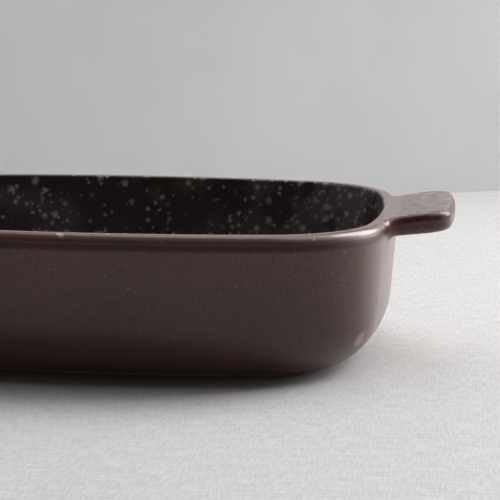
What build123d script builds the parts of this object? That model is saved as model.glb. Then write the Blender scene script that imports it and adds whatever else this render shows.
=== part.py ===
from build123d import *

import os
from math import asin, atan2, cos, degrees, hypot, radians, sin, sqrt, tan

# A stoneware lasagna dish: a deep bowl of fired clay with a bare foot ring, a lifted tab
# handle luted to each end, a satin coat of glaze outside and a second coat in the hollow.
# Lengths are millimetres and angles are degrees. +Z is up, +X runs along the dish, and the
# origin lies on the table under the middle of the foot.

# Rim seen from above: four shallow arcs, rounded into each other at the corners
rim_length = 275.0
rim_width = 208.5
side_bow = 18.5
end_bow = 17.5
corner_radius = 57.0

# Outside seen from the side
rim_height = 70.0
wall_draft = 4.3
belly_radius = 28.0
lip_radius = 3.6

# Hollow
lip_width = 7.5
mouth_radius = 1.5
hollow_draft = 5.0
floor_thickness = 7.0
floor_radius = 22.0

# Handles
handle_width = 79.0
handle_reach = 27.5
handle_thickness = 9.8
tip_bow = 2.5
tip_corner_radius = 12.0
rise_gap = 0.1
rise_radius = 8.0
rise_slope = 12.0
crest_radius = 260.0
underside_slope = 6.5
underside_radius = 3.0
root_radius = 5.0
scoring_depth = 0.5

# Glaze and foot
glaze_thickness = 0.7
foot_height = 1.5
foot_ring_width = 5.0
foot_edge_radius = 0.6
bare_margin = 0.8

# Shapes that are trimmed later run this far past their final size
overrun = 12.0


def arc_radius(chord, bow):
    """Radius of an arc that bows by the given length over its chord."""
    return ((chord / 2) ** 2 + bow**2) / (2 * bow)


# Arcs of the rim: the corner's circle touches the side's and the end's from inside
side_radius = arc_radius(rim_length, side_bow)
end_radius = arc_radius(rim_width, end_bow)
side_y = rim_width / 2 - side_radius
end_x = rim_length / 2 - end_radius
to_side = side_radius - corner_radius
to_end = end_radius - corner_radius
spacing = hypot(end_x, side_y)
along = (to_side**2 - to_end**2 + spacing**2) / (2 * spacing)
across = sqrt(to_side**2 - along**2)
corner_x = (end_x * along - side_y * across) / spacing
corner_y = side_y - (side_y * along + end_x * across) / spacing
side_angle = degrees(atan2(corner_y - side_y, corner_x))
end_angle = degrees(atan2(corner_y, corner_x - end_x))

# Heights and places of the handles, the belly and the foot
trim_height = rim_height + overrun
tip_x = rim_length / 2 + handle_reach
handle_root_x = rim_length / 2 - lip_width - overrun
rise_start_x = rim_length / 2 - lip_width + mouth_radius + rise_gap
rise_end_x = rise_start_x + rise_radius * sin(radians(rise_slope))
rise_end_height = rim_height + rise_radius * (1 - cos(radians(rise_slope)))
crest_x = rise_end_x + crest_radius * sin(radians(rise_slope))
crest_drop = crest_radius * cos(radians(rise_slope))
tip_height = rise_end_height - crest_drop + sqrt(crest_radius**2 - (crest_x - tip_x) ** 2)
underside_root_height = tip_height - handle_thickness - handle_reach * tan(radians(underside_slope))
belly_run = belly_radius * tan(radians(90 - wall_draft) / 2)
foot_inset = (rim_height - foot_height) * tan(radians(wall_draft)) + belly_run + bare_margin


def outline(growth):
    """The rim's outline from above, moved outwards by growth."""
    with BuildSketch() as plan:
        with BuildLine():
            CenterArc((0, side_y), side_radius + growth, side_angle, 180 - 2 * side_angle)
            CenterArc((0, -side_y), side_radius + growth, -side_angle, 2 * side_angle - 180)
            CenterArc((end_x, 0), end_radius + growth, -end_angle, 2 * end_angle)
            CenterArc((-end_x, 0), end_radius + growth, 180 - end_angle, 2 * end_angle)
            right = CenterArc((corner_x, corner_y), corner_radius + growth, end_angle, side_angle - end_angle)
            left = mirror(right, about=Plane.YZ)
            mirror([right, left], about=Plane.XZ)
        make_face()
    return plan.sketch


def drafted_block(bottom, draft, growth):
    """A block between bottom and the trim height, at the rim grown by growth, drafted."""
    slope = tan(radians(draft))
    with BuildPart() as block:
        with BuildSketch(Plane.XY.offset(bottom)):
            add(outline(growth - (rim_height - bottom) * slope))
        with BuildSketch(Plane.XY.offset(trim_height)):
            add(outline(growth + overrun * slope))
        loft(ruled=True)
    return block.part


def bowl_form(depth):
    """The bowl as a solid block with its belly round, under a coat of the given depth.

    The wall runs on past the rim, so that the lip can be cut later."""
    with BuildPart() as bowl:
        add(drafted_block(foot_height + depth, wall_draft, -depth))
        belly = bowl.faces().sort_by(Axis.Z)[0].edges()
        fillet(belly, belly_radius - depth)
    return bowl.part


def hollow_form(growth):
    """The room inside the bowl as a solid, grown by the given length, up past the rim."""
    with BuildPart() as hollow:
        add(drafted_block(foot_height + floor_thickness - growth, hollow_draft, growth - lip_width))
        floor_edge = hollow.faces().sort_by(Axis.Z)[0].edges()
        fillet(floor_edge, floor_radius + growth)
    return hollow.part


def handle_form(depth):
    """The tab at the +X end, still too tall, with its underside sloped and rounded."""
    underside_height = tip_height - handle_thickness + depth
    fall = tan(radians(underside_slope))
    outer_x = tip_x + overrun
    inner_x = handle_root_x - overrun
    with BuildPart() as tab:
        with BuildSketch() as plan:
            with BuildLine():
                near = Line((handle_root_x, -handle_width / 2), (tip_x - tip_bow, -handle_width / 2))
                tip = ThreePointArc(near @ 1, (tip_x, 0), (tip_x - tip_bow, handle_width / 2))
                far = Line(tip @ 1, (handle_root_x, handle_width / 2))
                Line(far @ 1, near @ 0)
            make_face()
            fillet(plan.vertices().group_by(Axis.X)[-1], tip_corner_radius)
            offset(amount=-depth)
        extrude(amount=trim_height)
        with BuildSketch(Plane.XZ):
            with BuildLine():
                slope = Line(
                    (inner_x, underside_height - fall * (tip_x - inner_x)),
                    (outer_x, underside_height + fall * (outer_x - tip_x)),
                )
                Polyline(slope @ 1, (outer_x, -overrun), (inner_x, -overrun), slope @ 0)
            make_face()
        extrude(amount=handle_width, both=True, mode=Mode.SUBTRACT)
        underside = tab.faces().sort_by(Axis.Z)[0]
        fillet(underside.edges().sort_by(Axis.X)[1:], underside_radius - depth)
    return tab.part


def space_above(depth):
    """Everything over the rim and the handles: flat, then a short rise and a long crest."""
    outer_x = tip_x + overrun
    crest_turn = rise_slope - degrees(asin((crest_x - outer_x) / crest_radius))
    with BuildSketch(Plane.XZ) as side:
        with BuildLine():
            level = Line((0, rim_height), (rise_start_x, rim_height))
            rise = JernArc(level @ 1, level % 1, rise_radius, rise_slope)
            crest = JernArc(rise @ 1, rise % 1, crest_radius, -crest_turn)
            Polyline(crest @ 1, (outer_x, trim_height + overrun), (0, trim_height + overrun), level @ 0)
        make_face()
        mirror(about=Plane.YZ)
        offset(amount=depth)
    with BuildPart() as above:
        extrude(side.sketch, amount=rim_width, both=True)
    return above.part


def dish_form(depth):
    """The whole outside as one block, handles and lip included, under a coat of depth."""
    tab = handle_form(depth)
    with BuildPart() as dish:
        add(bowl_form(depth))
        add([tab, tab.mirror(Plane.YZ)])
        roots = dish.edges(Select.NEW).filter_by_position(Axis.Z, foot_height, trim_height, (False, False))
        fillet(roots, root_radius + depth)
        add(space_above(depth), mode=Mode.SUBTRACT)
        tops = dish.faces().filter_by(lambda face: face.normal_at().Z > cos(radians(2 * rise_slope)))
        lip = tops.edges().filter_by(Axis.Y, reverse=True)
        fillet(lip, lip_radius - depth)
    return dish.part


def luting_zone():
    """Room of the right handle and its root, down to the scored clay of the wall."""
    bottom = underside_root_height - root_radius - 2 * scoring_depth
    width = handle_width + 2 * root_radius + 2 * scoring_depth
    with BuildPart() as zone:
        with BuildSketch(Plane.XY.offset(bottom)):
            with Locations((handle_root_x, 0)):
                Rectangle(tip_x + overrun - handle_root_x, width, align=(Align.MIN, Align.CENTER))
        extrude(amount=trim_height - bottom)
        add(bowl_form(glaze_thickness + scoring_depth), mode=Mode.SUBTRACT)
    return zone.part


os.makedirs("parts", exist_ok=True)

clay_outside = dish_form(glaze_thickness)
clay_hollow = hollow_form(glaze_thickness)
handle_room = luting_zone()

# The finished outline of the dish, both coats included, with the mouth's edge rounded
with BuildPart() as glazed_dish:
    add(dish_form(0))
    add(hollow_form(0), mode=Mode.SUBTRACT)
    mouth = glazed_dish.edges(Select.LAST).group_by(Axis.Z)[-1]
    fillet(mouth, mouth_radius)

# Fired clay bowl, scored where the handles sit, on a bare ring under its flat bottom
with BuildPart() as stoneware_body:
    add(clay_outside)
    add([handle_room, handle_room.mirror(Plane.YZ), clay_hollow], mode=Mode.SUBTRACT)
    with BuildSketch():
        add(outline(-foot_inset - bare_margin))
        add(outline(-foot_inset - bare_margin - foot_ring_width), mode=Mode.SUBTRACT)
    extrude(amount=foot_height + glaze_thickness)
    foot_edges = stoneware_body.faces().sort_by(Axis.Z)[0].edges()
    fillet(foot_edges, foot_edge_radius)
stoneware_body.part.label = "stoneware_body"
export_step(stoneware_body.part, "parts/stoneware_body.step")

# Clay tabs beyond the scored wall, each with the fillet of slip that lutes it on
with BuildPart() as handle_right:
    add(clay_outside)
    add(handle_room, mode=Mode.INTERSECT)
handle_right.part.label = "handle_right"
export_step(handle_right.part, "parts/handle_right.step")

with BuildPart() as handle_left:
    mirror(handle_right.part, about=Plane.YZ)
handle_left.part.label = "handle_left"
export_step(handle_left.part, "parts/handle_left.step")

# Coat over wall, lip and handles, which stops short of the foot ring
with BuildPart() as outer_glaze:
    add(glazed_dish.part)
    add([clay_outside, clay_hollow], mode=Mode.SUBTRACT)
    with BuildSketch():
        add(outline(-foot_inset))
    extrude(amount=foot_height + glaze_thickness, mode=Mode.SUBTRACT)
outer_glaze.part.label = "outer_glaze"
export_step(outer_glaze.part, "parts/outer_glaze.step")

# Coat that lines the hollow up to the mouth's edge
with BuildPart() as inner_glaze:
    add(glazed_dish.part)
    add(clay_hollow, mode=Mode.INTERSECT)
inner_glaze.part.label = "inner_glaze"
export_step(inner_glaze.part, "parts/inner_glaze.step")

print("handle tip height", round(tip_height, 2), "overall length", 2 * tip_x)
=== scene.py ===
# %% [markdown]
# # A stoneware lasagna dish
# The dish is one fired bowl with a tab handle at each end. Outside it wears a satin brown
# glaze, inside a nearly black one with pale specks, and only the foot ring shows bare clay.
# Its solids come ready made, at their real size. What is left for Blender is what the eye
# reads as glaze: tone that drifts, grain, specks, brush marks and soft window light. All
# lengths are metres, with +X along the dish, +Z up and the table at height 0.

# %% Load the dish
from math import cos, radians, sin

import bpy
from mathutils import Matrix, Vector


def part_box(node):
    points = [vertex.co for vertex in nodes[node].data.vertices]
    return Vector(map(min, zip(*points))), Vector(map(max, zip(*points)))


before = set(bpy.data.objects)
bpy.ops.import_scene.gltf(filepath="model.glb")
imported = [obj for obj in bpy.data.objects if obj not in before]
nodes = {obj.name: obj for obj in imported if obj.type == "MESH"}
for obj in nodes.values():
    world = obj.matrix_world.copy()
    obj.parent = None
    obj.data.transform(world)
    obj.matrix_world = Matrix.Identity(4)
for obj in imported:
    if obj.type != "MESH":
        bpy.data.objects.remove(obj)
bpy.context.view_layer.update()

for name in sorted(nodes):
    low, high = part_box(name)
    print(name, "from", [round(v, 4) for v in low], "to", [round(v, 4) for v in high])

# %% [markdown]
# ## Colours as the eye gives them
# Colours are easiest to judge as the 0 to 255 values of a screen. Shaders add up real
# light, so each value is turned into its linear share first.

# %% Turn screen colours into light
def screen_colour(red, green, blue):
    """A colour given as 0 to 255 screen values, as linear light with full alpha."""
    shares = [value / 255 for value in (red, green, blue)]
    light = [s / 12.92 if s <= 0.04045 else ((s + 0.055) / 1.055) ** 2.4 for s in shares]
    return (*light, 1.0)


print("mid grey in light:", [round(v, 3) for v in screen_colour(128, 128, 128)])

# %% [markdown]
# ## Small helpers for node trees
# A finish is a tree of nodes, and each node takes plain values or the outputs of others. One
# helper adds a node and feeds all its inputs in the same call, so that each recipe below
# reads as a list of steps. A node such as Mix keeps sockets of one name for each kind of
# value, so the helper takes the one that the node's present mode uses.

# %% Place nodes and feed them
COLUMN, ROW = 200, 170


def socket_in_use(sockets, name):
    """The socket of that number, or the one in use with that name."""
    if isinstance(name, int):
        return sockets[name]
    return next(socket for socket in sockets if socket.name == name and socket.enabled)


def feed(tree, node, name, given):
    """Gives an input a plain value, or wires it to an output of another node."""
    socket = socket_in_use(node.inputs, name)
    if isinstance(given, bpy.types.NodeSocket):
        tree.links.new(given, socket)
    else:
        socket.default_value = given


def add_node(tree, kind, spot, inputs=None, **settings):
    """A new node at a (column, row) spot, with its settings made and its inputs fed."""
    node = tree.nodes.new(kind)
    node.location = (spot[0] * COLUMN, -spot[1] * ROW)
    for name, value in settings.items():
        setattr(node, name, value)
    for name, given in (inputs or {}).items():
        feed(tree, node, name, given)
    return node


print("nodes stand", COLUMN, "by", ROW, "units apart")

# %% [markdown]
# ## Short names for the nodes used most
# Math and Map Range do most of the work. Each gets a function that hands back its output,
# ready to feed the next node. The one to remember is `fade`. It turns any measure, such as a
# height, into a share between a start and an end, and the start may be the larger of the two.

# %% Work out and fade
def work_out(tree, spot, operation, *given):
    """What a Math node makes of its inputs, such as their product."""
    node = add_node(tree, "ShaderNodeMath", spot, dict(enumerate(given)), operation=operation)
    return node.outputs["Value"]


def work_out_vector(tree, spot, operation, *given):
    """The same for places and directions."""
    node = add_node(tree, "ShaderNodeVectorMath", spot, dict(enumerate(given)), operation=operation)
    return node.outputs["Vector"]


def fade(tree, spot, given, start, end, low=0.0, high=1.0, smooth=False):
    """Goes from low to high while the given value goes from start to end, and no further."""
    marks = {"Value": given, "From Min": start, "From Max": end, "To Min": low, "To Max": high}
    node = add_node(tree, "ShaderNodeMapRange", spot, marks,
                    interpolation_type="SMOOTHSTEP" if smooth else "LINEAR")
    return node.outputs["Result"]


def scale_share(tree, spot, share, low, high):
    """Turns a share from 0 to 1 into a value from low to high."""
    return fade(tree, spot, share, 0.0, 1.0, low, high)


print("short names:", [step.__name__ for step in (work_out, work_out_vector, fade, scale_share)])

# %% [markdown]
# ### Noise and mixing
# Nothing on a fired glaze is even, so noise comes into every recipe, and mixing lays one coat
# over another. Mixed colours cover what is below them by a share. A tint multiplies instead,
# which leaves each change of tone below it to be seen, as a thin coat does.

# %% Scatter, mix and tint
def noise(tree, spot, place, scale, detail=2.0, roughness=0.5):
    """Noise as a number, "Fac", and as three, "Color"; scale is its lumps per metre."""
    values = {"Vector": place, "Scale": scale, "Detail": detail, "Roughness": roughness}
    return add_node(tree, "ShaderNodeTexNoise", spot, values).outputs


def mix(tree, spot, first, second, share, **settings):
    """Blends two values by a share."""
    values = {"A": first, "B": second, "Factor": share}
    node = add_node(tree, "ShaderNodeMix", spot, values, **settings)
    return socket_in_use(node.outputs, "Result")


def mix_colours(tree, spot, first, second, share):
    """Blends two colours by a share."""
    return mix(tree, spot, first, second, share, data_type="RGBA")


def tint(tree, spot, colour, filter_colour):
    """A colour seen through a filter, which darkens it where the filter is dark."""
    return mix(tree, spot, colour, filter_colour, 1.0, data_type="RGBA", blend_type="MULTIPLY")


print("and for layers:", [step.__name__ for step in (noise, mix, mix_colours, tint)])

# %% [markdown]
# ## Groups
# What several finishes share is built once, as a node group with named inputs and outputs,
# like a tool with dials that each finish sets its own way. Copying the nodes into each
# finish would work too, but a mend would then have to be made in every copy.

# %% Open, close and use groups
NUMBER, COLOUR = "NodeSocketFloat", "NodeSocketColor"


def open_group(name, inputs, outputs):
    """A new group, what it is given and its exit; inputs are (name, type, value)."""
    group = bpy.data.node_groups.new(name, "ShaderNodeTree")
    for label, kind, value in inputs:
        socket = group.interface.new_socket(label, in_out="INPUT", socket_type=kind)
        socket.default_value = value
    for label, kind in outputs:
        group.interface.new_socket(label, in_out="OUTPUT", socket_type=kind)
    entry = add_node(group, "NodeGroupInput", (0, 0))
    leave = add_node(group, "NodeGroupOutput", (8, 0))
    return group, entry.outputs, leave


def close_group(group, leave, results):
    """Feeds the results to the exit and says how large the group has become."""
    for name, result in results.items():
        feed(group, leave, name, result)
    print("group:", group.name, "with", len(group.nodes), "nodes")


def use_group(tree, group, spot, values):
    """Places a group in a finish with its dials set, and hands back its outputs."""
    return add_node(tree, "ShaderNodeGroup", spot, values, node_tree=group).outputs


print("a group takes and gives", NUMBER, "and", COLOUR)

# %% [markdown]
# ### Places and directions
# Most groups start from where a point of the surface lies in the dish, or from where that bit
# of surface faces. Both belong to the dish and not to the camera, so the marks stay put when
# it is seen from elsewhere.

# %% Ask where a point lies and where it faces
def place_in(tree, spot):
    """Where a point of the surface lies."""
    return add_node(tree, "ShaderNodeTexCoord", spot).outputs["Object"]


def facing_in(tree, spot):
    """The direction in which the surface faces."""
    return add_node(tree, "ShaderNodeNewGeometry", spot).outputs["Normal"]


def parts_of(tree, spot, vector):
    """The X, Y and Z of a place or direction."""
    return add_node(tree, "ShaderNodeSeparateXYZ", spot, {"Vector": vector}).outputs


def per_metre(tree, spot, size):
    """How many things of one size fit into a metre."""
    return work_out(tree, spot, "DIVIDE", 1.0, size)


print("a surface is asked for its", place_in.__name__, "and", facing_in.__name__)

# %% [markdown]
# ## Drifting tone
# Glaze is poured or dipped, so its thickness wanders by a few hundredths of a millimetre, and
# the colour with it. Slow noise that blends a thin and a full colour gives that drift. The
# same recipe serves both glazes, the clay and the sheets round the dish, each with its own
# size and colours. Stretched upwards, it also makes the runs that hang down a wall.

# %% Build the drifting tone group
drift, given, leave = open_group(
    "drifting tone",
    [("Patch Size", NUMBER, 0.04), ("Stretch Up", NUMBER, 1.0),
     ("Thin Colour", COLOUR, (1, 1, 1, 1)), ("Full Colour", COLOUR, (0, 0, 0, 1))],
    [("Colour", COLOUR)],
)
place = place_in(drift, (0, 2))
stretch = add_node(drift, "ShaderNodeCombineXYZ", (1, 3), {
    "X": 1.0, "Y": 1.0, "Z": given["Stretch Up"]})
stretched = work_out_vector(drift, (2, 2), "DIVIDE", place, stretch.outputs["Vector"])
patches_per_metre = per_metre(drift, (2, 1), given["Patch Size"])
patches = noise(drift, (3, 1), stretched, patches_per_metre, detail=4.0, roughness=0.55)
spread = fade(drift, (4, 1), patches["Fac"], start=0.3, end=0.7, smooth=True)
blend = mix_colours(drift, (6, 0), given["Thin Colour"], given["Full Colour"], spread)
close_group(drift, leave, {"Colour": blend})

# %% [markdown]
# ## Soft specks
# The inner glaze is flecked with ash grey, as if a brush had been shaken over it. Each speck
# sits in a cell of its own: close to the cell's centre it is full, and it fades at its rim.
# The places are jostled by noise first, because a perfect disc looks printed.

# %% Divide the surface into uneven cells
def jostle(tree, spot, place, scale, push, detail=2.0, roughness=0.5):
    """A place pushed about by noise, so that round marks come out ragged."""
    column, row = spot
    wobble = noise(tree, spot, place, scale, detail, roughness)
    pushes = add_node(tree, "ShaderNodeVectorMath", (column + 1, row),
                      {0: wobble["Color"], "Scale": push}, operation="SCALE")
    return work_out_vector(tree, (column + 2, row), "ADD", place, pushes.outputs["Vector"])


specks, given, leave = open_group(
    "soft specks",
    [("Spacing", NUMBER, 0.006), ("Speck Size", NUMBER, 0.3), ("Softness", NUMBER, 0.5),
     ("Share", NUMBER, 0.5), ("Crowd Size", NUMBER, 0.03), ("Seed", NUMBER, 0.0)],
    [("Mask", NUMBER), ("Crowding", NUMBER)],
)
shifted = work_out_vector(specks, (1, 3), "ADD", place_in(specks, (0, 3)), given["Seed"])
uneven = jostle(specks, (2, 4), shifted, scale=280.0, push=0.0022)
cells_per_metre = per_metre(specks, (4, 1), given["Spacing"])
cells = add_node(specks, "ShaderNodeTexVoronoi", (5, 1), {
    "Vector": uneven, "Scale": cells_per_metre}).outputs
own_values = add_node(specks, "ShaderNodeSeparateColor", (5, 3), {"Color": cells["Color"]}).outputs
print("cells are in:", len(specks.nodes), "nodes so far")

# %% [markdown]
# ### Which cells hold a speck, and how large
# Not every cell has one. Each cell brings random values of its own: one makes a few specks
# large and most of them small, and one decides whether there is a speck at all. A second, slow
# noise decides where they crowd together. The crowding is given out too, since dust that falls
# in specks also leaves a haze between them.

# %% Size, fade and choose the specks
own_size = fade(specks, (6, 2), own_values["Red"], 0.0, 1.0, low=0.45, smooth=True)
full_size = work_out(specks, (6, 3), "MULTIPLY", own_size, given["Speck Size"])
inside = work_out(specks, (6, 4), "SUBTRACT", full_size, cells["Distance"])
soft_edge = work_out(specks, (6, 5), "MULTIPLY", full_size, given["Softness"])
share_in = work_out(specks, (7, 5), "DIVIDE", inside, soft_edge)
edge = fade(specks, (7, 4), share_in, 0.0, 1.0, smooth=True)
crowds = noise(specks, (2, 2), shifted, per_metre(specks, (1, 2), given["Crowd Size"]))
crowded = fade(specks, (3, 2), crowds["Fac"], start=0.4, end=0.62)
crowd_share = scale_share(specks, (3, 3), crowded, low=0.45, high=1.7)
allowed = work_out(specks, (4, 2), "MULTIPLY", crowd_share, given["Share"])
chosen = work_out(specks, (7, 2), "LESS_THAN", own_values["Green"], allowed)
mask = work_out(specks, (7, 1), "MULTIPLY", edge, chosen)
close_group(specks, leave, {"Mask": mask, "Crowding": crowded})

# %% [markdown]
# ## Fine grain
# Satin glaze isn't smooth up close. It has a skin like an orange, with grains of a
# millimetre or less, and longer swells where it pooled. Grain is given out both as a small
# change of tone and as a height for the bump.

# %% Build the fine grain group
grain, given, leave = open_group(
    "fine grain",
    [("Grain Size", NUMBER, 0.0006), ("Swell Size", NUMBER, 0.012), ("Swell Share", NUMBER, 0.5)],
    [("Grain", NUMBER), ("Height", NUMBER)],
)
place = place_in(grain, (0, 2))
grains_per_metre = per_metre(grain, (1, 0), given["Grain Size"])
swells_per_metre = per_metre(grain, (1, 1), given["Swell Size"])
grains = noise(grain, (2, 0), place, grains_per_metre, detail=3.0, roughness=0.6)["Fac"]
swells = noise(grain, (2, 1), place, swells_per_metre, detail=1.0)["Fac"]
height = mix(grain, (4, 0), grains, swells, given["Swell Share"], data_type="FLOAT")
close_group(grain, leave, {"Grain": grains, "Height": height})

# %% [markdown]
# ## Brush marks
# The tops of the handles were wiped or brushed along their length while the glaze was wet, so
# they carry short pale dashes. Noise squeezed hard across the stroke and left long along it
# makes such dashes. The mask keeps them to faces that look up, beyond the end of the bowl.

# %% Build the brush marks group
HANDLE_STARTS, HANDLE_FADE = 0.130, 0.012


def past_bowl(tree, spot, along, start):
    """How far a point lies past the start of the handles, at either end of the dish."""
    outwards = work_out(tree, spot, "ABSOLUTE", along)
    return work_out(tree, (spot[0] + 1, spot[1]), "SUBTRACT", outwards, start)


brush, given, leave = open_group(
    "brush marks",
    [("Stroke Length", NUMBER, 0.008), ("Stroke Width", NUMBER, 0.0008),
     ("Starts At", NUMBER, HANDLE_STARTS)],
    [("Mask", NUMBER), ("Top", NUMBER)],
)
place = place_in(brush, (0, 2))
stroke = add_node(brush, "ShaderNodeCombineXYZ", (1, 1), {
    "X": given["Stroke Length"], "Y": given["Stroke Width"], "Z": given["Stroke Width"]})
squeezed = work_out_vector(brush, (2, 1), "DIVIDE", place, stroke.outputs["Vector"])
strokes = noise(brush, (3, 1), squeezed, scale=1.0)
dashes = fade(brush, (4, 1), strokes["Fac"], start=0.5, end=0.62)
where = parts_of(brush, (1, 3), place)
faces = parts_of(brush, (1, 4), facing_in(brush, (0, 4)))
past = past_bowl(brush, (2, 3), where["X"], given["Starts At"])
on_handle = fade(brush, (4, 3), past, 0.0, HANDLE_FADE)
looks_up = fade(brush, (4, 4), faces["Z"], start=0.75, end=0.95)
top = work_out(brush, (5, 3), "MULTIPLY", on_handle, looks_up)
mask = work_out(brush, (6, 2), "MULTIPLY", dashes, top)
close_group(brush, leave, {"Mask": mask, "Top": top})

# %% [markdown]
# ## The lip
# Melted glaze runs off an edge and settles on a level face. So on the rounded lip the coat is
# thin and breaks to a lighter, redder tone, which is also painted reflection of the light, and
# where the lip lies level it is smoother. A darker line of painted shade follows under it. One
# group finds these places. It starts with how level a face is and how near it lies to the top
# of the rim, and leaves the handles out, which aren't part of the lip.

# %% Find the level top and the rim
LIP_STARTS, LIP_FULL = 0.0655, 0.0695
lip, given, leave = open_group(
    "lip",
    [("Starts At", NUMBER, LIP_STARTS), ("Full At", NUMBER, LIP_FULL),
     ("Ends Beyond", NUMBER, HANDLE_STARTS)],
    [("Level", NUMBER), ("Rim", NUMBER), ("Rounding", NUMBER), ("Shade Beneath", NUMBER)],
)
where = parts_of(lip, (1, 2), place_in(lip, (0, 2)))
faces = parts_of(lip, (1, 4), facing_in(lip, (0, 4)))
past = past_bowl(lip, (2, 3), where["X"], given["Ends Beyond"])
off_handle = fade(lip, (4, 3), past, 0.0, HANDLE_FADE, low=1.0, high=0.0)
looks_up = fade(lip, (3, 4), faces["Z"], start=0.5, end=0.95)
level = work_out(lip, (5, 4), "MULTIPLY", looks_up, off_handle)
near_rim = fade(lip, (3, 1), where["Z"], given["Starts At"], given["Full At"])
rim = work_out(lip, (5, 1), "MULTIPLY", near_rim, off_handle)
print("the lip starts at", LIP_STARTS, "and is full at", LIP_FULL, "m up")

# %% [markdown]
# ### The rounding and the painted shade beneath
# Two more masks follow the height. One grows over the whole rounding of the lip, and later
# rolls it over a little more in the bump. The other is a strip with soft edges just under the
# rounding, for a line of painted shade: it fades in, and a second fade takes it out again.

# %% Find the rounding and the strip beneath it
ROUNDING = (0.0620, 0.0694)
STRIP_FADES_IN, STRIP_FADES_OUT = (0.0622, 0.0640), (0.0668, 0.0652)
rounding = fade(lip, (3, 2), where["Z"], *ROUNDING, smooth=True)
on_bowl = work_out(lip, (5, 2), "MULTIPLY", rounding, off_handle)
above_wall = fade(lip, (3, 5), where["Z"], *STRIP_FADES_IN, smooth=True)
below_rounding = fade(lip, (3, 6), where["Z"], *STRIP_FADES_OUT, smooth=True)
strip = work_out(lip, (4, 5), "MULTIPLY", above_wall, below_rounding)
shade_beneath = work_out(lip, (5, 5), "MULTIPLY", strip, off_handle)
close_group(lip, leave, {"Level": level, "Rim": rim, "Rounding": on_bowl, "Shade Beneath": shade_beneath})

# %% [markdown]
# ## Start a finish
# Every finish begins the same way: a new material with one shader, whose plain values are set
# on the shader itself. Where nodes feed a value later, the plain one is its rough average.
# The relief is a bump, since glaze grain is too fine to be worth real mesh.

# %% Start a finish, raise its relief and dress pieces in it
def start_finish(name, roughness, shine=0.5, coat=0.0, coat_roughness=0.3):
    """A material with its tree and its one shader."""
    finish = bpy.data.materials.new(name)
    finish.use_nodes = True
    tree = finish.node_tree
    tree.nodes.clear()
    shader = add_node(tree, "ShaderNodeBsdfPrincipled", (10, 0),
                      {"Roughness": roughness, "Specular IOR Level": shine,
                       "Coat Weight": coat, "Coat Roughness": coat_roughness})
    add_node(tree, "ShaderNodeOutputMaterial", (12, 0), {"Surface": shader.outputs["BSDF"]})
    return finish, tree, shader


def add_relief(tree, shader, height, strength, distance):
    """Raises the surface a little where the height is large."""
    relief = add_node(tree, "ShaderNodeBump", (9, 4),
                      {"Strength": strength, "Distance": distance, "Height": height})
    feed(tree, shader, "Normal", relief.outputs["Normal"])


def dress(finish, *names):
    """Gives a finish to pieces of the dish."""
    for name in names:
        nodes[name].data.materials.clear()
        nodes[name].data.materials.append(finish)
        print(name, "wears", finish.name)


print("pieces to dress:", ", ".join(sorted(nodes)))

# %% [markdown]
# ## The satin brown glaze
# Outside, the dish wears a brown that leans to red where it runs thin, with faint upright
# runs and a fleck in its skin. A picture of glaze would repeat and blur up close, so the brown
# is built up in layers, as on the real dish, and each of the next cells adds one.

# %% Make the satin brown glaze
satin_glaze, tree, shader = start_finish(
    "satin_brown_glaze", roughness=0.33, shine=0.36, coat=0.4, coat_roughness=0.19)
tone = use_group(tree, drift, (0, 0), {
    "Patch Size": 0.07, "Thin Colour": screen_colour(92, 54, 48),
    "Full Colour": screen_colour(79, 48, 43)})
runs = use_group(tree, drift, (0, 1), {
    "Patch Size": 0.011, "Stretch Up": 8.0, "Thin Colour": (1.0, 1.0, 1.0, 1.0),
    "Full Colour": (0.94, 0.945, 0.95, 1.0)})
with_runs = tint(tree, (2, 0), tone["Colour"], runs["Colour"])
skin = use_group(tree, grain, (0, 2), {
    "Grain Size": 0.0011, "Swell Size": 0.014, "Swell Share": 0.45})
flecks = scale_share(tree, (2, 2), skin["Grain"], low=-0.3, high=2.3)
grained = tint(tree, (3, 0), with_runs, flecks)
print(satin_glaze.name, "begun with", len(tree.nodes), "nodes")

# %% [markdown]
# ### Painted shade towards the foot
# The wall is painted darker near the foot: painted shade, for the shadow at the foot and its
# dark reflection low on the wall. A painted gradient would need an unwrapped surface. The
# height of each point is known anyway, so a fade over the height is simpler.

# %% Paint shade towards the foot
FOOT_FADE_STARTS, FOOT_FADE_FULL = 0.066, 0.020
FOOT_SHADE_BROWN = screen_colour(30, 19, 17)
place = place_in(tree, (-1, 9))
where = parts_of(tree, (0, 9), place)
towards_foot = fade(tree, (1, 8), where["Z"], FOOT_FADE_STARTS, FOOT_FADE_FULL, smooth=True)
foot_shade_share = scale_share(tree, (2, 8), towards_foot, low=0.0, high=0.36)
# Painted shade: the colour is mixed towards a dark brown near the foot.
foot_shaded = mix_colours(tree, (3, 1), grained, FOOT_SHADE_BROWN, foot_shade_share)
print("the glaze thickens from", FOOT_FADE_STARTS, "down to", FOOT_FADE_FULL, "m")

# %% [markdown]
# ### Lighter and redder at the ends
# The ends of the bowl are painted a lighter, redder brown, a painted sheen for the window
# light that falls on them. This fade runs outwards from the middle, the same way at both ends,
# and stops short of the handles, which have brush marks instead.

# %% Paint a sheen on the ends of the bowl
END_SHEEN_STARTS, END_SHEEN_FULL = 0.120, 0.137
HANDLE_AHEAD, HANDLE_REACHED = 0.138, 0.141
END_SHEEN_RED = screen_colour(142, 92, 80)
outwards = work_out(tree, (1, 9), "ABSOLUTE", where["X"])
end_sheen = fade(tree, (2, 9), outwards, END_SHEEN_STARTS, END_SHEEN_FULL, high=0.40, smooth=True)
short_of_handle = fade(tree, (2, 10), outwards, HANDLE_REACHED, HANDLE_AHEAD)
end_sheen_share = work_out(tree, (3, 3), "MULTIPLY", end_sheen, short_of_handle)
# Painted sheen: the ends are mixed towards a lighter red brown.
end_sheened = mix_colours(tree, (3, 2), foot_shaded, END_SHEEN_RED, end_sheen_share)
print("the ends redden from", END_SHEEN_STARTS, "to", END_SHEEN_FULL, "m from the middle")
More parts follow.
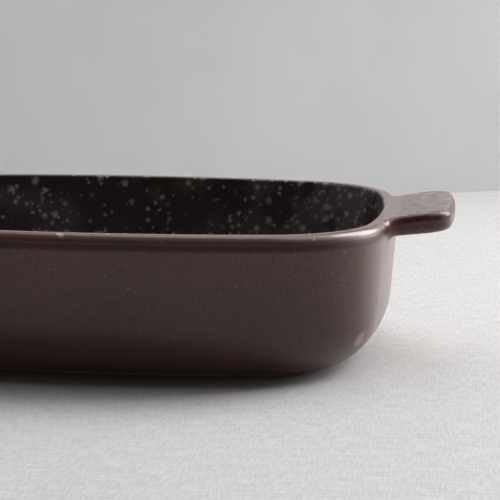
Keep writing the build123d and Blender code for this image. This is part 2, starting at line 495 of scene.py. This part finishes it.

# %% [markdown]
# ### Lighter on the lip, painted shade beneath it
# Glaze that breaks over an edge is what makes stoneware look fired. Here the lighter lip also
# carries painted reflection, and the dark line beneath it is painted shade. The lip group has
# found the places, and here each gets its colour. The level top and the rim share one colour,
# so the stronger of their two masks is taken, and where they overlap nothing is mixed twice.

# %% Break the glaze over the lip
SHADE_BENEATH_BROWN, LIP_RED_AND_SHEEN = screen_colour(34, 13, 10), screen_colour(128, 92, 85)
lip_masks = use_group(tree, lip, (0, 3), {})
shade_beneath_share = scale_share(tree, (2, 6), lip_masks["Shade Beneath"], low=0.0, high=0.5)
# Painted shade: a dark line is mixed in just under the lip.
shaded_beneath = mix_colours(tree, (3, 4), end_sheened, SHADE_BENEATH_BROWN, shade_beneath_share)
on_level = scale_share(tree, (1, 3), lip_masks["Level"], low=0.0, high=0.9)
on_rim = scale_share(tree, (1, 4), lip_masks["Rim"], low=0.0, high=0.8)
break_and_sheen_share = work_out(tree, (2, 3), "MAXIMUM", on_level, on_rim)
# A real lighter break with painted reflection: the lip and level top are mixed lighter.
broken_and_sheened = mix_colours(tree, (4, 0), shaded_beneath, LIP_RED_AND_SHEEN, break_and_sheen_share)
print("lip and strip are in:", len(tree.nodes), "nodes so far")

# %% [markdown]
# ### Brushed handles
# A handle is wiped to take off drips, and the bristles leave pale dashes along it. The whole
# top is painted lighter first, a painted sheen for the light on its upward faces, and the
# dashes follow.

# %% Brush the handles
STROKE_LENGTH, STROKE_WIDTH = 0.012, 0.0009
TOP_SHEEN_BROWN, DASH_GREY = screen_colour(134, 108, 104), screen_colour(214, 204, 200)
strokes = use_group(tree, brush, (0, 4), {
    "Stroke Length": STROKE_LENGTH, "Stroke Width": STROKE_WIDTH})
# Painted sheen: the whole top of each handle is mixed lighter.
top_sheen_share = scale_share(tree, (2, 4), strokes["Top"], low=0.0, high=0.45)
top_sheened = mix_colours(tree, (5, 0), broken_and_sheened, TOP_SHEEN_BROWN, top_sheen_share)
dash_share = scale_share(tree, (2, 5), strokes["Mask"], low=0.0, high=0.65)
brushed = mix_colours(tree, (6, 0), top_sheened, DASH_GREY, dash_share)
print("strokes are", STROKE_LENGTH, "by", STROKE_WIDTH, "m")

# %% [markdown]
# ### Pinholes and ash
# Small bubbles burst in the melt and leave pinholes, and a little ash settles on the rim. Both
# are the specks group with its dials set another way: tiny and sparse for pinholes, larger and
# softer for ash, which the rim mask keeps to the rim.

# %% Add pinholes, and ash on the lip
BARE_POINT, ASH_GREY = screen_colour(208, 172, 146), screen_colour(206, 200, 196)
pinholes = use_group(tree, specks, (0, 6), {
    "Spacing": 0.006, "Speck Size": 0.062, "Softness": 0.4, "Share": 0.6,
    "Crowd Size": 0.03, "Seed": 3.0})
pitted = mix_colours(tree, (7, 0), brushed, BARE_POINT, pinholes["Mask"])
ash = use_group(tree, specks, (0, 7), {
    "Spacing": 0.005, "Speck Size": 0.3, "Softness": 0.6, "Share": 0.5,
    "Crowd Size": 0.02, "Seed": 7.0})
ash_share = work_out(tree, (6, 4), "MULTIPLY", ash["Mask"], lip_masks["Rim"])
dusted = mix_colours(tree, (8, 0), pitted, ASH_GREY, ash_share)
print("pinholes and ash are in:", len(tree.nodes), "nodes so far")

# %% [markdown]
# ### One scar and one smudge
# Two marks of the firing aren't scattered, and sit at one place each: a copper scar low on the
# right corner, where a bubble tore the coat, and a smudge of ash on the near rim. Each is a
# round mark about a point, and the jostled place makes its edge ragged.

# %% Leave a copper scar and an ash smudge
SCAR_AT, SCAR_EDGE, SCAR_CORE = (0.1258, -0.0600, 0.0207), 0.0046, 0.0026
SMUDGE_AT, SMUDGE_EDGE, SMUDGE_CORE = (-0.0042, -0.0990, 0.0728), 0.0024, 0.0010
SCAR_COPPER, SMUDGE_GREY = screen_colour(170, 139, 124), screen_colour(214, 206, 202)


def round_mark(tree, spot, place, middle, edge, core, strength):
    """A mark about a point, full within its core and gone at its edge."""
    away = add_node(tree, "ShaderNodeVectorMath", spot, {0: place, 1: middle}, operation="DISTANCE")
    return fade(tree, (spot[0] + 1, spot[1]), away.outputs["Value"], edge, core, high=strength)


ragged = jostle(tree, (1, 11), place, scale=300.0, push=0.006, detail=4.0, roughness=0.7)
scar = round_mark(tree, (4, 9), ragged, SCAR_AT, SCAR_EDGE, SCAR_CORE, strength=0.6)
scarred = mix_colours(tree, (9, 0), dusted, SCAR_COPPER, scar)
smudge = round_mark(tree, (4, 11), ragged, SMUDGE_AT, SMUDGE_EDGE, SMUDGE_CORE, strength=0.8)
smudged = mix_colours(tree, (9, 1), scarred, SMUDGE_GREY, smudge)
feed(tree, shader, "Base Color", smudged)
print("scar at", SCAR_AT, "and smudge at", SMUDGE_AT)

# %% [markdown]
# ### How smooth the satin glaze is
# A satin glaze has a broad soft shine with a thin smoother coat on top. The roughness follows
# the same places as the colour: level faces on the lip are smoother, where the melt settled,
# and the foot is rougher.

# %% Set how rough the glaze is
WALL_SATIN, FOOT_SATIN, LEVEL_SATIN = 0.34, 0.38, 0.26
satin_by_height = scale_share(tree, (7, 2), towards_foot, WALL_SATIN, FOOT_SATIN)
satin = mix(tree, (8, 2), satin_by_height, LEVEL_SATIN, lip_masks["Level"], data_type="FLOAT")
feed(tree, shader, "Roughness", satin)
print("roughness goes from", LEVEL_SATIN, "on the level lip to", FOOT_SATIN, "at the foot")

# %% [markdown]
# ### Where the coat is full
# The coat grows where the lip turns over, which draws the bright line along it, and on the
# ends of the bowl, where the painted sheen lies. At the height of the lip those ends fade
# out, so that no step shows along the handles. Where both apply, the stronger one is taken.

# %% Set the coat
THIN_COAT, FULL_COAT, END_COAT = 0.36, 1.0, 1.34
END_COAT_GONE, END_COAT_FULL = 0.067, 0.060
tilted = work_out(tree, (6, 3), "SUBTRACT", 1.0, lip_masks["Level"])
turning = work_out(tree, (7, 3), "MULTIPLY", lip_masks["Rim"], tilted)
pooled = fade(tree, (8, 3), turning, 0.0, 0.45, low=THIN_COAT, high=FULL_COAT)
below_lip = fade(tree, (6, 5), where["Z"], END_COAT_GONE, END_COAT_FULL)
end_faces = work_out(tree, (7, 5), "MULTIPLY", below_lip, end_sheen_share)
at_ends = scale_share(tree, (8, 5), end_faces, THIN_COAT, END_COAT)
feed(tree, shader, "Coat Weight", work_out(tree, (9, 3), "MAXIMUM", pooled, at_ends))
print("the coat is", THIN_COAT, "on the wall and up to", FULL_COAT, "where the lip turns")

# %% [markdown]
# ### Relief, and a softer lip
# The relief adds the skin and the brush ridges. It also rolls the lip a little rounder than
# the solid is, as pooled glaze does on a real rim: the height falls over the rounding, and
# light then slides round it in a wider band.

# %% Raise the relief and dress the outside
RIDGE_HEIGHT, SKIN_HEIGHT = 0.8, 0.07
ridges = work_out(tree, (6, 6), "MULTIPLY", strokes["Mask"], RIDGE_HEIGHT)
uneven = work_out(tree, (7, 6), "ADD", ridges, skin["Height"])
shallow = work_out(tree, (8, 6), "MULTIPLY", uneven, SKIN_HEIGHT)
rolled = work_out(tree, (9, 6), "SUBTRACT", shallow, lip_masks["Rounding"])
add_relief(tree, shader, rolled, strength=1.0, distance=0.0018)
dress(satin_glaze, "outer_glaze")

# %% [markdown]
# ## The speckled dark glaze
# The hollow is nearly black, under a thin haze of the same dust that made its specks. The
# right end caught more of the dust, so specks and haze both grow towards it, and there the
# haze is also a painted sheen for the light in that end. The haze stays where the specks
# crowd, and the glaze between them is left dark.

# %% Make the dark glaze and its haze
NEARLY_BLACK, BLACK = screen_colour(70, 59, 57), screen_colour(59, 50, 48)
HAZE_AND_SHEEN_GREY = screen_colour(138, 130, 128)
DUST_AND_SHEEN_GROWS, DUST_AND_SHEEN_FULL = 0.05, 0.095
dark_glaze, tree, shader = start_finish(
    "speckled_dark_glaze", roughness=0.4, shine=0.5, coat=0.2, coat_roughness=0.25)
tone = use_group(tree, drift, (0, 0), {
    "Patch Size": 0.03, "Thin Colour": NEARLY_BLACK, "Full Colour": BLACK})
where = parts_of(tree, (-2, 2), place_in(tree, (-3, 2)))
dust_and_sheen_end = fade(tree, (-1, 2), where["X"], DUST_AND_SHEEN_GROWS, DUST_AND_SHEEN_FULL, low=0.6, high=1.9)
large = use_group(tree, specks, (0, 1), {
    "Spacing": 0.0062, "Speck Size": 0.5, "Softness": 1.0, "Share": dust_and_sheen_end,
    "Crowd Size": 0.025, "Seed": 1.0})
haze_and_sheen_share = work_out(tree, (2, 3), "MULTIPLY", dust_and_sheen_end, large["Crowding"])
# Dust haze with painted sheen: crowded places turn paler, most towards the right end.
haze_and_sheen = fade(tree, (3, 3), haze_and_sheen_share, start=0.22, end=1.1, high=0.7)
hazed_and_sheened = mix_colours(tree, (3, 0), tone["Colour"], HAZE_AND_SHEEN_GREY, haze_and_sheen)
print(dark_glaze.name, "begun with", len(tree.nodes), "nodes")

# %% [markdown]
# ### Specks in the glaze
# A few large soft specks crowd together among many small ones. Two sizes laid over each other
# look more like spatter than one size that varies. They lie in the glaze, not on it, so their
# edges are blurred and they keep the same shine.

# %% Scatter the specks and dress the hollow
SMALL_SPECK, LARGE_SPECK = screen_colour(206, 200, 197), screen_colour(214, 208, 205)
small = use_group(tree, specks, (0, 2), {
    "Spacing": 0.0039, "Speck Size": 0.5, "Softness": 1.0, "Share": dust_and_sheen_end,
    "Crowd Size": 0.025, "Seed": 1.0})
dusted = mix_colours(tree, (4, 0), hazed_and_sheened, SMALL_SPECK, small["Mask"])
flecked = mix_colours(tree, (5, 0), dusted, LARGE_SPECK, large["Mask"])
feed(tree, shader, "Base Color", flecked)
skin = use_group(tree, grain, (0, 4), {
    "Grain Size": 0.0007, "Swell Size": 0.012, "Swell Share": 0.5})
satin = scale_share(tree, (5, 3), skin["Grain"], low=0.34, high=0.46)
feed(tree, shader, "Roughness", satin)
add_relief(tree, shader, skin["Height"], strength=0.12, distance=0.0006)
dress(dark_glaze, "inner_glaze")

# %% [markdown]
# ## Bare fired clay
# Glaze would weld the dish to the kiln shelf, so the foot is wiped clean. What shows there is
# buff clay: matt, a little gritty, with dark iron dots. The grit is the grain group again,
# finer and stronger, and the dots are the specks group in a dark colour.

# %% Make the bare clay
PALE_BUFF, BUFF = screen_colour(186, 165, 145), screen_colour(163, 140, 120)
IRON = screen_colour(88, 66, 54)
bare_clay, tree, shader = start_finish("bare_fired_clay", roughness=0.85, shine=0.25)
tone = use_group(tree, drift, (0, 0), {
    "Patch Size": 0.02, "Thin Colour": PALE_BUFF, "Full Colour": BUFF})
skin = use_group(tree, grain, (0, 2), {
    "Grain Size": 0.0005, "Swell Size": 0.003, "Swell Share": 0.25})
grit = scale_share(tree, (2, 2), skin["Grain"], low=0.7, high=1.3)
gritty = tint(tree, (3, 0), tone["Colour"], grit)
dots = use_group(tree, specks, (0, 3), {
    "Spacing": 0.004, "Speck Size": 0.12, "Softness": 0.5, "Share": 0.4,
    "Crowd Size": 0.05, "Seed": 9.0})
dotted = mix_colours(tree, (4, 0), gritty, IRON, dots["Mask"])
print(bare_clay.name, "begun with", len(tree.nodes), "nodes")

# %% [markdown]
# ### The rubbed ring
# The foot ring rubs against tables and oven racks, which greys it where it touches. That is
# its lowest part, so the wear follows the height again, and is gone less than a millimetre
# up. The handles get the same clay, although the glaze hides it.

# %% Rub the ring and dress the clay
RUBBED_GREY, RUBBED_BELOW = screen_colour(140, 130, 122), 0.0007
where = parts_of(tree, (4, 4), place_in(tree, (3, 4)))
rubbed = fade(tree, (5, 4), where["Z"], RUBBED_BELOW, 0.0, high=0.6)
feed(tree, shader, "Base Color", mix_colours(tree, (6, 0), dotted, RUBBED_GREY, rubbed))
matt = scale_share(tree, (6, 2), skin["Grain"], low=0.78, high=0.95)
feed(tree, shader, "Roughness", matt)
add_relief(tree, shader, skin["Height"], strength=0.35, distance=0.0006)
dress(bare_clay, "stoneware_body", "handle_right", "handle_left")

# %% [markdown]
# ## Table and backdrop
# The dish stands on a pale board with a linen weave, and a light grey wall stands askew a
# little way behind it. Both are plain flat sheets, as a studio would use.

# %% Set up the two sheets
def stand_sheet(name, middle, along, up, half_length, half_height):
    """A flat sheet round a middle point, spanned by two directions."""
    middle, along, up = Vector(middle), Vector(along) * half_length, Vector(up) * half_height
    corners = [middle - along - up, middle + along - up, middle + along + up, middle - along + up]
    mesh = bpy.data.meshes.new(name)
    mesh.from_pydata(corners, [], [(0, 1, 2, 3)])
    sheet = bpy.data.objects.new(name, mesh)
    bpy.context.scene.collection.objects.link(sheet)
    return sheet


WALL_TURN_DEGREES = 28
wall_turn = radians(WALL_TURN_DEGREES)
wall_along = (cos(wall_turn), sin(wall_turn), 0)
table = stand_sheet("table", (0, 0, 0), (1, 0, 0), (0, 1, 0), 4.0, 4.0)
wall = stand_sheet("wall", (0.34, 0.662, 0.25), wall_along, (0, 0, 1), 1.4, 0.25)
print("the wall is turned", WALL_TURN_DEGREES, "degrees from the dish")

# %% [markdown]
# ### Sheets that show only their front
# Both sheets are see-through from their back, so that the dish can still be looked at from
# behind the wall and from below the table. Lamps may shine through the board too, so that a
# lamp below it can show the foot.

# %% Make a sheet one-sided
def show_front_only(tree, shader, lets_light_through=False):
    """Lets the back of a sheet be seen through, and if asked lets lamps shine through it."""
    see_through = add_node(tree, "ShaderNodeNewGeometry", (10, 3)).outputs["Backfacing"]
    if lets_light_through:
        ray = add_node(tree, "ShaderNodeLightPath", (10, 5))
        see_through = work_out(tree, (11, 3), "MAXIMUM", see_through, ray.outputs["Is Shadow Ray"])
    nothing = add_node(tree, "ShaderNodeBsdfTransparent", (10, 4))
    choice = add_node(tree, "ShaderNodeMixShader", (11, 1), {
        0: see_through, 1: shader.outputs["BSDF"], 2: nothing.outputs["BSDF"]})
    output = next(node for node in tree.nodes if node.type == "OUTPUT_MATERIAL")
    feed(tree, output, "Surface", choice.outputs["Shader"])


print("sheets to paint:", table.name, "and", wall.name)

# %% [markdown]
# ### Linen on the board
# Threads are noise stretched along each of the two directions, one set over the other. They
# wander and vary as spun thread does, where evenly repeated stripes look like a grille.

# %% Paint the board
THREADS = ((1000.0, 110.0, 1.0), (60.0, 900.0, 1.0))
painted_board, tree, shader = start_finish("painted_board", roughness=0.62, shine=0.35)
board_tone = use_group(tree, drift, (0, 0), {
    "Patch Size": 0.25, "Thin Colour": screen_colour(231, 230, 229),
    "Full Colour": screen_colour(227, 226, 225)})
place = place_in(tree, (0, 2))
threads = []
for row, squeeze in enumerate(THREADS):
    squeezed = work_out_vector(tree, (1, 2 + row), "MULTIPLY", place, squeeze)
    threads.append(noise(tree, (2, 2 + row), squeezed, scale=1.0)["Fac"])
weave = work_out(tree, (3, 2), "ADD", *threads)
weave_tone = fade(tree, (4, 2), weave, start=0.7, end=1.3, low=0.86, high=1.13)
feed(tree, shader, "Base Color", tint(tree, (5, 0), board_tone["Colour"], weave_tone))
add_relief(tree, shader, weave, strength=0.10, distance=0.0005)
show_front_only(tree, shader, lets_light_through=True)
table.data.materials.append(painted_board)
print("painted:", painted_board.name)

# %% [markdown]
# ### Plain paint on the wall
# The wall is there for its soft light and its edge behind the table. It only drifts a little
# in tone, which is enough to keep it from looking like a cut-out.

# %% Paint the wall
painted_wall, tree, shader = start_finish("painted_wall", roughness=0.8, shine=0.3)
wall_tone = use_group(tree, drift, (0, 0), {
    "Patch Size": 0.12, "Thin Colour": screen_colour(252, 252, 253),
    "Full Colour": screen_colour(246, 246, 248)})
feed(tree, shader, "Base Color", wall_tone["Colour"])
show_front_only(tree, shader)
wall.data.materials.append(painted_wall)
print("painted:", painted_wall.name)

# %% [markdown]
# ## Soft light
# Daylight from a tall window behind and to the right does most of the work. It draws the white
# line along the lip's right corner, brightens the right end, and leaves the front wall in
# gentle shade. A wide ceiling lamp, also a little to the right and behind, softens the shadow
# at the foot. A low window from the right rounds the corner, and one from the left reaches
# into the right end of the hollow. One faint lamp below the board lights the foot for anyone
# who looks from there. Large lamps are used, because small ones would cut hard shadows.

# %% Hang the lamps
def soft_lamp(name, at, aim, size, watts):
    """A rectangular lamp of a width and height, at one point and facing another."""
    lamp = bpy.data.lights.new(name, "AREA")
    lamp.shape = "RECTANGLE"
    lamp.size, lamp.size_y = size
    lamp.energy = watts
    holder = bpy.data.objects.new(name, lamp)
    holder.location = at
    holder.rotation_euler = (Vector(aim) - Vector(at)).to_track_quat("-Z", "Y").to_euler()
    bpy.context.scene.collection.objects.link(holder)
    print(name, "at", at, "with", watts, "W")


DISH_MIDDLE, DISH_FOOT = (0, 0, 0.05), (0, 0, 0)
soft_lamp("back_window", (2.03, 1.38, 1.54), DISH_MIDDLE, (1.75, 2.4), 86.0)
soft_lamp("right_window", (3.0, 0.1, 0.7), DISH_MIDDLE, (1.6, 1.1), 4.5)
soft_lamp("ceiling", (0.4, 0.5, 1.8), DISH_MIDDLE, (2.4, 1.4), 17.5)
soft_lamp("left_window", (-1.6, 0.35, 1.2), DISH_MIDDLE, (1.0, 0.8), 3.2)
soft_lamp("under_light", (0.0, -0.2, -1.0), DISH_FOOT, (1.0, 1.0), 0.7)

# %% [markdown]
# ### The light of the room
# A room gives a little light back from everywhere. A faint even sky stands for it and keeps
# the deepest shadows from turning black, and any more of it would flatten the glaze.

# %% Add the light of the room
SKY_STRENGTH = 0.03
world = bpy.data.worlds.new("pale_room")
world.use_nodes = True
sky = next(node for node in world.node_tree.nodes if node.type == "BACKGROUND")
sky.inputs["Color"].default_value = screen_colour(240, 241, 242)
sky.inputs["Strength"].default_value = SKY_STRENGTH
bpy.context.scene.world = world
print("the room adds light of strength", SKY_STRENGTH)

# %% [markdown]
# ## The camera
# The view is close to level, from a hand's height above the rim, with a long lens, so the
# rim closes to a thin ellipse. The values below say where the lens looks and from how far, its
# turns in radians, and how many pixels wide a metre is at a metre's distance.

# %% Set the camera
PICTURE_WIDTH, SENSOR_WIDTH = 500, 36.0
focal_pixels, distance = 1821.479, 0.898526
look_down, look_left, roll = 0.169649, -0.119286, 0.0059416
aim = Vector((0.0649276, 0.0, 0.0472602))

ahead = Vector((sin(look_left) * cos(look_down), cos(look_left) * cos(look_down), -sin(look_down)))
level_right = Vector((cos(look_left), -sin(look_left), 0.0))
level_up = level_right.cross(ahead)
right = cos(roll) * level_right + sin(roll) * level_up
up = -sin(roll) * level_right + cos(roll) * level_up
turned = Matrix((right, up, -ahead)).transposed().to_4x4()

camera_data = bpy.data.cameras.new("camera")
camera_data.sensor_width = SENSOR_WIDTH
camera_data.lens = focal_pixels * SENSOR_WIDTH / PICTURE_WIDTH
camera_data.clip_start, camera_data.clip_end = 0.05, 20.0
camera = bpy.data.objects.new("camera", camera_data)
camera.matrix_world = Matrix.Translation(aim - distance * ahead) @ turned
bpy.context.scene.collection.objects.link(camera)
bpy.context.scene.camera = camera
bpy.context.scene.view_settings.view_transform = "Standard"
print("lens", round(camera_data.lens, 1), "mm at", [round(v, 3) for v in camera.location])
